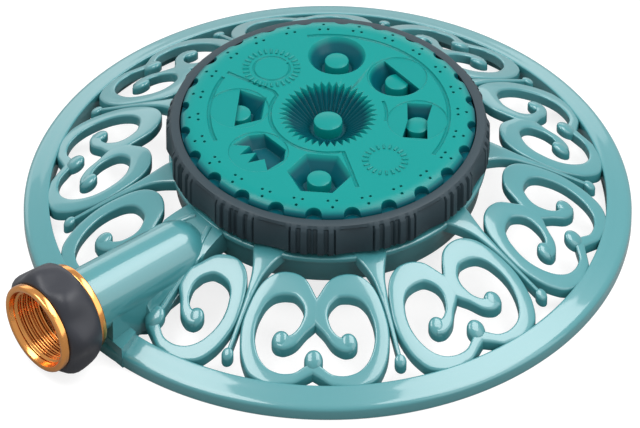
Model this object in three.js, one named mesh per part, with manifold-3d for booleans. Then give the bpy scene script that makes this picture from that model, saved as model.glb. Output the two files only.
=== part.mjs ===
// A ground sprinkler: a cast scrollwork base with a rotating eight-pattern spray turret on its hub
// and a swivelling female hose coupling at the end of its inlet pipe.
//
// Millimetres, +Z up. The object stands on z = 0. The hose inlet points along -X.
// The turret turns about a vertical axis at x = AXIS_X, y = 0, which puts the middle of the
// whole object's box at x = 0.

import * as THREE from "three";
import { mergeVertices } from "three/addons/utils/BufferGeometryUtils.js";
import Module from "manifold-3d";

const wasm = await Module();
wasm.setup();

// ---- driving dimensions ----

const BASE_R = 108; // outer radius of the base ring
const RING_INNER_R = 98;
const LIP_X = 132; // distance of the hose coupling's mouth from the turret axis
const AXIS_X = (LIP_X - BASE_R) / 2;
const GAP = 0.3; // clearance between pieces that touch

const STRAP_DEPTH = 4.2; // depth of the scrollwork straps
const UNITS = 8; // full scroll units round the base
const INLET_HALF_ANGLE = 28.57; // half of the wider sector that the inlet pipe takes
const UNIT_PITCH = (360 - 2 * INLET_HALF_ANGLE) / UNITS;
const WEB_EDGE = INLET_HALF_ANGLE - UNIT_PITCH / 2; // from the pipe to each edge of its web
const WEB_DEPTH = 10;

const HUB_R = 54;
const HUB_LIP_R = 56.2;
const HUB_BOTTOM = 16.5;
const HUB_TOP = 28.8;
const DECK_BOTTOM = 24.6; // underside of the hub's deck

const INLET_Z = 20.2; // height of the inlet pipe's axis
const PIPE_R = 11.9;
const PIPE_END_X = 111.6;
const FOOT_X = 106.6;
const PIPE_BORE_R = 7;
const FEED_BORE_R = 5;
const FEED_Z = 17.6; // height of the smaller bore that runs under the hub's deck

const PATTERNS = 8;
const PORT_R = 31.6; // radius of the circle on which the spray positions lie
const POST_R = 4.3;
const POST_WELL_R = 5.8; // the hole round each post, through the bottom of its pit
const PIT_R = 10.4;
const PIT_DEPTH = 6.4;
const CENTRE_PIT_R = 17.2;
const CENTRE_WELL_R = 7.2;
const CENTRE_POST_R = 5.1;
const PLEATS = 24;
const PLEAT_DEPTH = 2.4;

const TURRET_BOTTOM = 30.2;
const CHANNEL_TOP = 33.4;
const POST_PLATE_TOP = 37.9;
const POST_TOP = 44.5;
const CENTRE_POST_TOP = 43.8;
const DISC_BOTTOM = POST_PLATE_TOP + GAP;
const DISC_TOP = 46.8;
const DISC_R = 52;
const RIM_NOTCHES = 24;
const NOTCH_R = 2.6;
const NOTCH_FLOOR = 43.4;

const GRIP_R = 57.2;
const GRIP_INNER_R = 52.4;
const GRIP_BOTTOM = 30.4;
const GRIP_TOP = 43.7;
const GRIP_BAYS = 12;

const DETENT_R = 41; // radius of the detent ball's circle
const BALL_R = 2.5;

const NUT_BACK_X = 112.3;
const NUT_LIP_R = 16.6;
const THREAD_MINOR_R = 12.9;
const THREAD_MAJOR_R = 13.8;
const THREAD_PITCH = 2.2; // 11.5 threads to the inch
const THREAD_TURNS = 6;
const SLEEVE_R = 20;
const SLEEVE_LOBES = 7;
const SLEEVE_TURN = 21; // angle from the top to the first lobe

// Top surface of the casting as radius and height: the ring's sloping face, then the dome of the
// scrollwork up to the hub's lip.
const DOME = [
  [107.6, 4.4],
  [106.6, 5.4],
  [98.9, 8.5],
  [72, 23],
  [55, 28.8],
];

// ---- materials ----

const finish = (color, roughness, metalness) =>
  new THREE.MeshStandardMaterial({ color, roughness, metalness });
const PAINT = finish(0x82bec4, 0.3, 0.1);
const TEAL = finish(0x1a9e98, 0.3, 0);
const CHARCOAL = finish(0x3c4046, 0.7, 0);
const BRASS = finish(0xd08a46, 0.25, 1);
const STEEL = finish(0xb8bcc0, 0.3, 1);
const RUBBER = finish(0x222222, 0.8, 0);
const ACETAL = finish(0xe8e6df, 0.5, 0);

// ---- geometry helpers ----

const rad = THREE.MathUtils.degToRad;

// A closed three.js geometry as a manifold solid.
function solid(geometry) {
  const bare = geometry.clone();
  bare.deleteAttribute("normal");
  bare.deleteAttribute("uv");
  const merged = mergeVertices(bare, 1e-4);
  return new wasm.Manifold(
    new wasm.Mesh({
      numProp: 3,
      vertProperties: new Float32Array(merged.attributes.position.array),
      triVerts: new Uint32Array(merged.index.array),
    }),
  );
}

// A manifold solid as a three.js geometry.
function geometryOf(body) {
  const mesh = body.getMesh();
  const geometry = new THREE.BufferGeometry();
  geometry.setAttribute("position", new THREE.BufferAttribute(new Float32Array(mesh.vertProperties), 3));
  geometry.setIndex(new THREE.BufferAttribute(new Uint32Array(mesh.triVerts), 1));
  geometry.computeVertexNormals();
  return geometry;
}

const joined = (bodies) => bodies.reduce((sum, body) => sum.add(body));
const without = (body, cuts) => cuts.reduce((rest, cut) => rest.subtract(cut), body);

// A profile of [radius, height] points turned about Z. A profile off the axis closes on itself.
function turned(points, segments = 48) {
  const profile = points.map(([r, z]) => new THREE.Vector2(r, z));
  if (points[0][0] > 0) profile.push(profile[0].clone());
  let area = 0;
  for (let i = 0; i < profile.length; i += 1) {
    const next = profile[(i + 1) % profile.length];
    area += profile[i].x * next.y - next.x * profile[i].y;
  }
  if (area < 0) profile.reverse();
  const geometry = new THREE.LatheGeometry(profile, segments);
  geometry.rotateX(Math.PI / 2);
  return solid(geometry);
}

// A vertical cylinder or cone between two heights, centred at x, y.
function drum(r, zLow, zHigh, x = 0, y = 0, segments = 32, rTop = r) {
  const geometry = new THREE.CylinderGeometry(rTop, r, zHigh - zLow, segments);
  geometry.rotateX(Math.PI / 2);
  geometry.translate(x, y, (zLow + zHigh) / 2);
  return solid(geometry);
}

// A cylinder along X between two distances from the turret axis on the inlet side.
function barrel(r, near, far, z = INLET_Z, segments = 40, rFar = r) {
  const geometry = new THREE.CylinderGeometry(r, rFar, far - near, segments);
  geometry.rotateZ(-Math.PI / 2);
  geometry.translate(-(near + far) / 2, 0, z);
  return solid(geometry);
}

// A profile of [distance, radius] points turned about the inlet axis.
function turnedOnInlet(points, segments = 64) {
  const geometry = geometryOf(turned(points.map(([x, r]) => [r, x]), segments));
  geometry.rotateY(-Math.PI / 2);
  geometry.translate(0, 0, INLET_Z);
  return solid(geometry);
}

function box(size, centre) {
  const geometry = new THREE.BoxGeometry(...size);
  geometry.translate(...centre);
  return solid(geometry);
}

// An outline extruded between two heights.
function slab(points, zLow, zHigh) {
  const shape = new THREE.Shape(points.map(([x, y]) => new THREE.Vector2(x, y)));
  const geometry = new THREE.ExtrudeGeometry(shape, { depth: zHigh - zLow, bevelEnabled: false });
  geometry.translate(0, 0, zLow);
  return solid(geometry);
}

// A point given by an angle in degrees and a radius in parts of the base's radius.
const polar = ([angle, r]) => [BASE_R * r * Math.cos(rad(angle)), BASE_R * r * Math.sin(rad(angle))];

// A smooth closed outline through polar points.
function blob(points, samples) {
  const knots = points.map(polar).map(([x, y]) => new THREE.Vector3(x, y, 0));
  const curve = new THREE.CatmullRomCurve3(knots, true, "centripetal");
  return curve.getPoints(samples).slice(0, -1).map((p) => [p.x, p.y]);
}

// A strap that follows polar points, with a half width in millimetres at each one.
function strap(points, halfWidths, samples) {
  const knots = points.map(polar).map(([x, y], i) => new THREE.Vector3(x, y, halfWidths[i]));
  const middle = new THREE.CatmullRomCurve3(knots, false, "centripetal").getPoints(samples);
  const left = [];
  const right = [];
  middle.forEach((p, i) => {
    const before = middle[Math.max(i - 1, 0)];
    const after = middle[Math.min(i + 1, samples)];
    const across = new THREE.Vector2(before.y - after.y, after.x - before.x).normalize();
    left.push([p.x + across.x * p.z, p.y + across.y * p.z]);
    right.push([p.x - across.x * p.z, p.y - across.y * p.z]);
  });
  return left.concat(right.reverse());
}

// A round wire coil about Z.
function coil(radius, wire, zLow, zHigh, turns, x = 0, y = 0) {
  const Helix = class extends THREE.Curve {
    getPoint(t) {
      const angle = 2 * Math.PI * turns * t;
      const z = zLow + wire + (zHigh - zLow - 2 * wire) * t;
      return new THREE.Vector3(x + radius * Math.cos(angle), y + radius * Math.sin(angle), z);
    }
  };
  const section = new THREE.Shape();
  section.absarc(0, 0, wire, 0, 2 * Math.PI);
  return new THREE.ExtrudeGeometry(section, {
    curveSegments: 2,
    steps: Math.round(turns * 9),
    extrudePath: new Helix(),
  });
}

const turret = new THREE.Group();
turret.position.x = AXIS_X;

function place(name, body, material) {
  const geometry = body.isBufferGeometry ? body : geometryOf(body);
  const mesh = new THREE.Mesh(geometry, material);
  mesh.name = name;
  turret.add(mesh);
}

// ---- base casting ----

// One half of a scroll unit on the side of increasing angle, about the unit's centre line: a C
// scroll, its hole, and the curl that hooks into the hole. Points are [degrees, radius / BASE_R].
const LOBE = [
  [0.6, 0.69], [4, 0.607], [9, 0.575], [14.3, 0.6], [17.8, 0.66], [19, 0.745], [17.9, 0.83], [14.4, 0.885],
  [9, 0.914], [4.2, 0.89], [0.5, 0.855], [-1, 0.77],
];
const LOBE_HOLE = [
  [3.4, 0.7], [4.9, 0.659], [8.8, 0.645], [12.6, 0.667], [14.7, 0.72], [14.8, 0.785], [13, 0.845],
  [9.3, 0.872], [5.6, 0.865], [3, 0.842], [1.6, 0.82], [-1.5, 0.8], [-1.5, 0.74], [1.5, 0.725],
];
const CURL = [[1.7, 0.71], [2.7, 0.745], [4.3, 0.775], [6.4, 0.792], [8.2, 0.79]];
const CURL_HALF_WIDTHS = [2.4, 2.1, 1.8, 1.6, 1.6];
const CURL_END = [8.2, 0.787];
const CURL_END_R = 2.5;
const FINIAL = [0, 0.842];
const FINIAL_R = 2.9;

const turnPoints = (points, angle, side) => points.map(([a, r]) => [angle + side * a, r]);
const TALL = [-1, 60]; // heights that clear the whole casting, for cutters

function halfUnit(centre, side) {
  const at = (points) => turnPoints(points, centre, side);
  const [cx, cy] = polar(at([CURL_END])[0]);
  const lobe = slab(blob(at(LOBE), 15), ...TALL);
  const hole = slab(blob(at(LOBE_HOLE), 16), ...TALL);
  const curl = slab(strap(at(CURL), CURL_HALF_WIDTHS, 4), ...TALL);
  return { lobe, hole, curl: curl.add(drum(CURL_END_R, ...TALL, cx, cy, 8)) };
}

function scrollUnit(centre, sides) {
  const halves = sides.map((side) => halfUnit(centre, side));
  const [fx, fy] = polar([centre, FINIAL[1]]);
  const open = without(joined(halves.map((half) => half.lobe)), halves.map((half) => half.hole));
  return joined([open, ...halves.map((half) => half.curl), drum(FINIAL_R, ...TALL, fx, fy, 8)]);
}

// A tapering spoke between two units, which ends in a round bead.
function spoke(angle) {
  const radii = [0.47, 0.53, 0.568, 0.61, 0.655, 0.72, 0.85];
  const halfWidths = [7, 5.9, 4.5, 2.8, 1.8, 1.1, 0.9];
  const [bx, by] = polar([angle, 0.853]);
  return slab(strap(radii.map((r) => [angle, r]), halfWidths, 4), ...TALL).add(drum(1.9, ...TALL, bx, by, 6));
}

// The wedge under the inlet pipe, between the two half units beside it.
function inletWeb() {
  const outline = [
    [180 - WEB_EDGE, 0.45], [180 - WEB_EDGE, 0.86], [172.8, 0.88], [173.5, 0.93], [186.5, 0.93],
    [187.2, 0.88], [180 + WEB_EDGE, 0.86], [180 + WEB_EDGE, 0.45],
  ];
  return slab(outline.map(polar), ...TALL);
}

function underDome(depth) {
  const below = DOME.map(([r, z]) => [r, Math.max(z - depth, 0)]).reverse();
  return turned([...DOME, ...below], 30);
}

function baseCasting() {
  const ring = turned([[RING_INNER_R + 0.6, 0], [BASE_R, 0], ...DOME.slice(0, 3), [RING_INNER_R, 8.2]], 60);
  const first = 180 + INLET_HALF_ANGLE;
  const work = [scrollUnit(180 + WEB_EDGE, [1]), scrollUnit(180 - WEB_EDGE, [-1])];
  for (let i = 0; i < UNITS; i += 1) work.push(scrollUnit(first + UNIT_PITCH * (i + 0.5), [1, -1]));
  for (let i = 0; i <= UNITS; i += 1) work.push(spoke(first + UNIT_PITCH * i));
  const scrollwork = joined(work).intersect(underDome(STRAP_DEPTH));
  const web = inletWeb().intersect(underDome(WEB_DEPTH));

  const hub = turned([
    [4.2, 27.6], [4.2, 24], [7.2, 24], [7.2, 13], [10.5, 13], [10.5, DECK_BOTTOM], [51, DECK_BOTTOM],
    [51, HUB_BOTTOM], [HUB_R, HUB_BOTTOM], [54.7, 25.8], [HUB_LIP_R, 26.4], [HUB_LIP_R, 28.3], [55.7, HUB_TOP],
    [50.5, HUB_TOP], [50.5, 27.6], [45.1, 27.6], [45.1, HUB_TOP], [7.5, HUB_TOP], [7.5, 27.6],
  ], 36);
  const roomForTurret = drum(58.6, HUB_TOP, 60, 0, 0, 36);
  const pipe = barrel(PIPE_R - 0.2, 52, PIPE_END_X, INLET_Z, 24, PIPE_R + 0.2).subtract(roomForTurret);
  const keel = box([46, 13, 14], [-(FOOT_X - 22), 0, 10]).intersect(underDome(60).add(pipe));
  const foot = slab([[-FOOT_X, -17], [-98.5, -15.5], [-98.5, 15.5], [-FOOT_X, 17]], 0, 9.5);
  const feed = barrel(8.2, 20, 56, FEED_Z, 20);
  const detentBoss = drum(4.6, 18, DECK_BOTTOM + 1, DETENT_R, 0, 24);
  const cuts = [
    barrel(9.2, 94, LIP_X, INLET_Z, 24),
    barrel(PIPE_BORE_R, 58, 96, INLET_Z, 20),
    barrel(FEED_BORE_R, 25, 60, FEED_Z, 16),
    drum(8.3, 23, 60, -PORT_R, 0, 24),
    drum(4, FEED_Z, 25, -PORT_R, 0, 16),
    drum(BALL_R + GAP, 20, 60, DETENT_R, 0, 20),
  ];
  const solidParts = [ring, scrollwork, web, hub, pipe, keel, foot, feed, detentBoss];
  return without(joined(solidParts), cuts);
}

place("base_casting", baseCasting(), PAINT);

// ---- pivot, port seal and detent in the hub ----

place("slide_ring", turned([[45.4, 27.9], [50.2, 27.9], [50.2, 29.9], [45.4, 29.9]], 36), ACETAL);
place(
  "pivot_bush",
  turned([[3.2, 24.3], [3.9, 24.3], [3.9, 27.9], [7.2, 27.9], [7.2, 29.9], [3.2, 29.9]], 20),
  ACETAL,
);
place("pivot_screw", turned([[0, 13.6], [5.4, 13.6], [5.4, 16], [2.9, 16], [2.9, 35], [0, 35]], 18), STEEL);
place("pivot_washer", turned([[3.2, 16.3], [6.6, 16.3], [6.6, 17.3], [3.2, 17.3]], 18), STEEL);
place("pivot_spring", coil(5.4, 0.5, 17.6, 23.7, 3.5), STEEL);
place("pivot_insert", turned([[3.2, 30.5], [5.2, 30.5], [5.2, 35.7], [3.2, 35.7]], 18), BRASS);
place(
  "pivot_cap",
  turned([[0, 11.4], [10.2, 11.4], [10.2, 12.7], [6.5, 12.7], [6.5, 13.3], [0, 13.3]], 20),
  CHARCOAL,
);
place("port_seal", turned([[4, 26.6], [7.9, 26.6], [7.9, 28.9], [6.4, 29.9], [4, 29.9]], 20), RUBBER);
turret.getObjectByName("port_seal").position.x = -PORT_R;
place("port_seal_spring", coil(6, 0.45, 23.3, 26.3, 2.5, -PORT_R, 0), STEEL);

const ball = new THREE.SphereGeometry(BALL_R, 14, 9);
ball.translate(DETENT_R, 0, 28.6);
place("detent_ball", solid(ball), STEEL);
place("detent_spring", coil(1.8, 0.35, 20.3, 25.8, 5, DETENT_R, 0), STEEL);

// ---- turret ----

const aroundPorts = (make) => Array.from({ length: PATTERNS }, (_, i) => make((360 / PATTERNS) * i));
const onPortCircle = (angle, r = PORT_R) => [r * Math.cos(rad(angle)), r * Math.sin(rad(angle))];
const FEEDS_CENTRE = 90; // position whose water goes to the centre cone
const FEEDS_RIM = 270; // position whose water goes to the ring of rim jets

function channelPlate() {
  const plate = drum(DISC_R - 0.2, TURRET_BOTTOM, CHANNEL_TOP, 0, 0, 48);
  const boss = drum(9.5, CHANNEL_TOP - 1, 37, 0, 0, 24);
  const groove = turned([
    [DETENT_R - 2.6, TURRET_BOTTOM - 1], [DETENT_R + 2.6, TURRET_BOTTOM - 1],
    [DETENT_R + 2.6, 31.4], [DETENT_R - 2.6, 31.4],
  ], 40);
  const ports = aroundPorts((angle) => drum(5, 20, 50, ...onPortCircle(angle), 14));
  const pockets = aroundPorts((angle) => drum(2.4, 31, 32.3, ...onPortCircle(angle, DETENT_R), 8, 1.4));
  const insertHole = drum(5.5, 20, 36, 0, 0, 20);
  return without(plate.add(boss), [groove, insertHole, ...ports, ...pockets]);
}

function postPlate() {
  const plate = drum(DISC_R - 0.6, CHANNEL_TOP + GAP, POST_PLATE_TOP, 0, 0, 48);
  const posts = [];
  const cuts = [drum(9.9, 30, 37.3, 0, 0, 24)];
  aroundPorts((angle) => {
    const [x, y] = onPortCircle(angle);
    if (angle === FEEDS_CENTRE || angle === FEEDS_RIM) {
      cuts.push(drum(3.6, 30, 60, x, y, 12));
      return;
    }
    posts.push(drum(POST_R, POST_PLATE_TOP - 1, POST_TOP, x, y, 20));
    for (let k = 0; k < 4; k += 1) {
      const turn = rad(angle + 45 + 90 * k);
      cuts.push(drum(1.3, 30, 60, x + 6.3 * Math.cos(turn), y + 6.3 * Math.sin(turn), 6));
    }
  });
  posts.push(drum(CENTRE_POST_R, POST_PLATE_TOP - 1, CENTRE_POST_TOP, 0, 0, 24));
  const channel = (near, far) => box([5, far - near, 4], [0, (near + far) / 2, POST_PLATE_TOP + 0.4]);
  const channels = [channel(7, PORT_R), channel(-48, -PORT_R)];
  return without(joined([plate, ...posts]), [...cuts, ...channels]);
}

// The straight-sided pits as outlines about their post: u points away from the turret axis and
// w along increasing angle.
const PIT_OUTLINES = {
  0: [[-6.5, -8], [2.2, -10.2], [2.2, 10.2], [-6.5, 8], [-10, 3], [-10, -3]],
  135: [[0.6, -10.6], [0.6, 9.8], [-9.2, 5], [-9.4, -6.6]],
  180: [
    [-8, -7], [-2, -10], [4.5, -9], [1, -4.5], [6, -3.5], [1.5, 0], [7, 2.5], [1, 5], [3.5, 10], [-4, 9.5],
    [-8, 6],
  ],
  225: [[10.4, -6], [10.4, 6], [0, 12], [-10.4, 6], [-10.4, -6], [0, -12]],
  315: [[-4.3, -9.8], [4.3, -9.8], [3.4, 0], [4.3, 9.8], [-4.3, 9.8], [-3.4, 0]],
};

function pit(angle) {
  const [x, y] = onPortCircle(angle);
  const well = drum(POST_WELL_R, 30, 60, x, y, 20);
  if (!PIT_OUTLINES[angle]) {
    return well.add(drum(POST_WELL_R, DISC_BOTTOM + 1, DISC_TOP + 0.01, x, y, 28, PIT_R));
  }
  const [cos, sin] = [Math.cos(rad(angle)), Math.sin(rad(angle))];
  const outline = PIT_OUTLINES[angle].map(([u, w]) => [x + u * cos - w * sin, y + u * sin + w * cos]);
  return well.add(slab(outline, DISC_TOP - PIT_DEPTH, 60));
}

// The pleated cone round the centre post.
function centreCone() {
  const corners = Array.from({ length: 2 * PLEATS }, (_, i) => {
    const r = i % 2 ? CENTRE_PIT_R : CENTRE_PIT_R - PLEAT_DEPTH;
    const angle = (Math.PI * i) / PLEATS;
    return [r * Math.cos(angle), r * Math.sin(angle)];
  });
  const cone = drum(CENTRE_WELL_R, DISC_BOTTOM, DISC_TOP + 0.01, 0, 0, 40, CENTRE_PIT_R);
  const well = drum(CENTRE_WELL_R, 30, DISC_BOTTOM + 1, 0, 0, 24);
  return cone.intersect(slab(corners, DISC_BOTTOM - 1, 60)).add(well);
}

function sprayDisc() {
  const plate = turned([
    [0, DISC_BOTTOM], [DISC_R - 0.2, DISC_BOTTOM], [DISC_R, DISC_TOP - 2], [DISC_R - 0.8, DISC_TOP - 0.9],
    [DISC_R - 4, DISC_TOP], [0, DISC_TOP],
  ], 48);
  const gallery = turned([[44.5, 30], [49.5, 30], [49.5, 43.6], [44.5, 43.6]], 48);
  const notches = Array.from({ length: RIM_NOTCHES }, (_, i) => {
    const angle = (2 * Math.PI * i) / RIM_NOTCHES;
    return drum(NOTCH_R, NOTCH_FLOOR, 60, DISC_R * Math.cos(angle), DISC_R * Math.sin(angle), 8);
  });
  const pits = aroundPorts((angle) => angle)
    .filter((angle) => angle !== FEEDS_CENTRE && angle !== FEEDS_RIM)
    .map(pit);
  return without(plate, [gallery, centreCone(), ...notches, ...pits]);
}

// The grip's outline: smooth scooped bays with four upright ribs between them.
function gripOutline() {
  const points = [];
  const pitch = 360 / GRIP_BAYS;
  const at = (angle, r) => points.push([r * Math.cos(rad(angle)), r * Math.sin(rad(angle))]);
  for (let bay = 0; bay < GRIP_BAYS; bay += 1) {
    const centre = pitch * bay;
    for (const turn of [-6, 0, 6]) at(centre + turn, GRIP_R - 1.6 * (1 - (turn / 7) ** 2));
    for (const rib of [-6, -2, 2, 6]) {
      const middle = centre + pitch / 2 + rib;
      at(middle - 1.2, GRIP_R - 0.1);
      at(middle + 1.2, GRIP_R - 0.1);
      if (rib < 6) at(middle + 2, GRIP_R - 1.1);
    }
  }
  return points;
}

function gripRing() {
  const limits = turned([
    [GRIP_INNER_R, GRIP_BOTTOM], [56.4, GRIP_BOTTOM], [GRIP_R, 31.2], [GRIP_R, 41.9], [55.4, GRIP_TOP],
    [GRIP_INNER_R, GRIP_TOP],
  ]);
  return slab(gripOutline(), ...TALL).intersect(limits);
}

place("channel_plate", channelPlate(), TEAL);
place("post_plate", postPlate(), TEAL);
place("spray_disc", sprayDisc(), TEAL);
place("grip_ring", gripRing(), CHARCOAL);

// ---- inlet nipple and swivel coupling ----

place(
  "inlet_nipple",
  turnedOnInlet([
    [95, 6.4], [116.2, 6.4], [116.2, 11.6], [114.8, 11.6], [114.8, 8.9], [101, 8.9], [101, 7.4], [99, 7.4],
    [99, 8.9], [95, 8.9],
  ], 20),
  BRASS,
);

function washer(near, far, rIn, rOut, segments = 24) {
  return turnedOnInlet([[near, rIn], [far, rIn], [far, rOut], [near, rOut]], segments);
}

function nippleORing() {
  const section = Array.from({ length: 6 }, (_, i) => {
    const angle = (2 * Math.PI * i) / 6;
    return [100 + 0.55 * Math.cos(angle), 8.3 + 0.55 * Math.sin(angle)];
  });
  return turnedOnInlet(section, 24);
}

function couplingNut() {
  const threadStart = LIP_X - 1.6;
  const thread = [];
  for (let i = 0; i < THREAD_TURNS; i += 1) {
    const crest = threadStart - THREAD_PITCH * i;
    thread.push([crest, THREAD_MINOR_R], [crest - THREAD_PITCH / 2, THREAD_MAJOR_R]);
  }
  const threadEnd = threadStart - THREAD_PITCH * THREAD_TURNS;
  return turnedOnInlet([
    [LIP_X, 14.6], [threadStart + 0.4, 14], ...thread, [threadEnd, THREAD_MINOR_R], [threadEnd - 0.6, 13.3],
    [114.5, 13.3], [114.5, 9.2], [NUT_BACK_X, 9.2], [NUT_BACK_X, 15.6], [NUT_BACK_X + 0.6, 16.2],
    [NUT_BACK_X + 2.6, 16.2], [NUT_BACK_X + 2.6, 15.2], [128.9, 15.2], [128.9, NUT_LIP_R - 0.2],
    [129.2, NUT_LIP_R], [LIP_X - 0.9, NUT_LIP_R], [LIP_X, NUT_LIP_R - 1],
  ], 28);
}

// The rubber sleeve: soft lobes round a waisted barrel.
function couplingGrip() {
  const outline = Array.from({ length: 48 }, (_, i) => {
    const angle = (2 * Math.PI * i) / 48;
    const r = SLEEVE_R - 0.5 * (1 - Math.cos(SLEEVE_LOBES * (angle - rad(SLEEVE_TURN))));
    return [r * Math.cos(angle), r * Math.sin(angle)];
  });
  const geometry = geometryOf(slab(outline, 100, 140));
  geometry.rotateY(-Math.PI / 2);
  geometry.translate(0, 0, INLET_Z);
  const limits = turnedOnInlet([
    [115.3, 15.5], [128.5, 15.5], [128.5, 17.4], [127.2, 18.8], [125, SLEEVE_R + 0.1],
    [118.5, SLEEVE_R + 0.1], [116.3, 19.2], [115.3, 18.2],
  ], 28);
  return solid(geometry).intersect(limits);
}

place("nipple_o_ring", nippleORing(), RUBBER);
place("coupling_nut", couplingNut(), BRASS);
place("coupling_grip", couplingGrip(), CHARCOAL);
place("hose_washer", washer(116.5, 119.3, 7, 12.4), RUBBER);
place("filter_screen", turnedOnInlet([[119.6, 0], [119.6, 11.6], [120.2, 11.6], [121.4, 0]], 20), STEEL);

const sprinkler = new THREE.Group();
sprinkler.add(turret);
export default sprinkler;
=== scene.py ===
"""A garden sprinkler: cast scrollwork base, eight-pattern turret and brass hose coupling.

Lengths in the classes below are millimetres about the turret's axis, with +Z up and the hose
inlet along -X. Angles are degrees. Every piece becomes metres in the shared frame when it is made.
"""

import logging
import math
from collections.abc import Callable, Iterable
from dataclasses import dataclass
from enum import Enum

import bmesh
import bpy
from mathutils import Matrix, Vector


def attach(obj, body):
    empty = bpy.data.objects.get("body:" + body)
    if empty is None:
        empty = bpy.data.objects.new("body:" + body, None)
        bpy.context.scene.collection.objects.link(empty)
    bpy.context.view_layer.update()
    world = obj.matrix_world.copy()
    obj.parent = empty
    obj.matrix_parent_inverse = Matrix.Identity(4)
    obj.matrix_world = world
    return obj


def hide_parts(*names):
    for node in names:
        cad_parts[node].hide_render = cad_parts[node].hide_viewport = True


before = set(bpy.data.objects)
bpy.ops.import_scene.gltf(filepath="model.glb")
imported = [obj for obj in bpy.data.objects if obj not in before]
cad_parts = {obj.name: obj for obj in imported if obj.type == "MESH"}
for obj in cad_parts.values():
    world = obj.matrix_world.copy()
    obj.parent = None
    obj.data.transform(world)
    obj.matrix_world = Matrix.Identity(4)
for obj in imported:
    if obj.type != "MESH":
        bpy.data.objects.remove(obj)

LOG = logging.getLogger("sprinkler")
MM = 0.001
AXIS_X = 12.0
BASE_R = 108.0
INLET_Z = 20.2

Profile = list[tuple[float, float]]
Surface = Callable[[float], float]
Lean = Callable[[float, float], tuple[float, float]]


class Body(Enum):
    """The moving bodies of the sprinkler."""

    BASE = "base"
    TURRET = "turret"
    COUPLING = "coupling"


# ---------------------------------------------------------------- shared shape tools


def smoothstep(low: float, high: float, value: float) -> float:
    """Returns 0 below low, 1 above high and a soft turn between."""
    t = min(max((value - low) / (high - low), 0.0), 1.0)
    return t * t * (3 - 2 * t)


def polar(angle: float, radius: float, z: float = 0.0) -> Vector:
    """Returns the point at an angle in degrees and a radius in millimetres."""
    turn = math.radians(angle)
    return Vector((radius * math.cos(turn), radius * math.sin(turn), z))


def spline(points: list[Vector], samples: int, closed: bool) -> list[Vector]:
    """Runs a smooth curve through points.

    Args:
        points: the knots, in order.
        samples: points made on each span.
        closed: whether the curve returns to its first knot.

    Returns:
        The curve's points, with the last knot included on an open curve.
    """
    count = len(points)
    found = []
    for i in range(count if closed else count - 1):
        near = [(i + k) % count if closed else min(max(i + k, 0), count - 1) for k in (-1, 0, 1, 2)]
        a, b, c, d = (points[k] for k in near)
        bend, twist = 2 * a - 5 * b + 4 * c - d, 3 * b - a - 3 * c + d
        for s in range(samples):
            t = s / samples
            found.append(0.5 * (2 * b + (c - a) * t + bend * t**2 + twist * t**3))
    if not closed:
        found.append(points[-1].copy())
    return found


def circle(radius: float, count: int) -> Profile:
    """Returns the points of a circle about the origin."""
    turns = [2 * math.pi * k / count for k in range(count)]
    return [(radius * math.cos(t), radius * math.sin(t)) for t in turns]


def profile_at(profile: Profile) -> Surface:
    """Returns the height of a profile of (radius, height) points as a smooth function of radius."""
    knots = sorted(profile)
    slopes = [(b[1] - a[1]) / (b[0] - a[0]) for a, b in zip(knots, knots[1:])]
    tangents = [slopes[0], *[(a + b) / 2 for a, b in zip(slopes, slopes[1:])], slopes[-1]]

    def height(radius: float) -> float:
        radius = min(max(radius, knots[0][0]), knots[-1][0])
        i = max(k for k in range(len(knots) - 1) if knots[k][0] <= radius)
        width = knots[i + 1][0] - knots[i][0]
        t = (radius - knots[i][0]) / width
        low, high = knots[i][1], knots[i + 1][1]
        return (
            low * (2 * t**3 - 3 * t**2 + 1)
            + high * (3 * t**2 - 2 * t**3)
            + width * tangents[i] * (t**3 - 2 * t**2 + t)
            + width * tangents[i + 1] * (t**3 - t**2)
        )

    return height


def rounded(profile: Profile, radius: float, steps: int = 3, closed: bool = True) -> Profile:
    """Rounds the corners of a profile, with a smaller round where an edge is short."""
    count = len(profile)
    points = [Vector(p) for p in profile]
    found = []
    for i, corner in enumerate(points):
        if not closed and i in (0, count - 1):
            found.append(tuple(corner))
            continue
        before, after = points[i - 1] - corner, points[(i + 1) % count] - corner
        reach = min(radius, before.length * 0.45, after.length * 0.45)
        start, end = corner + before.normalized() * reach, corner + after.normalized() * reach
        for s in range(steps + 1):
            t = s / steps
            found.append(tuple(start * (1 - t) ** 2 + corner * 2 * t * (1 - t) + end * t**2))
    return found


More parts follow.
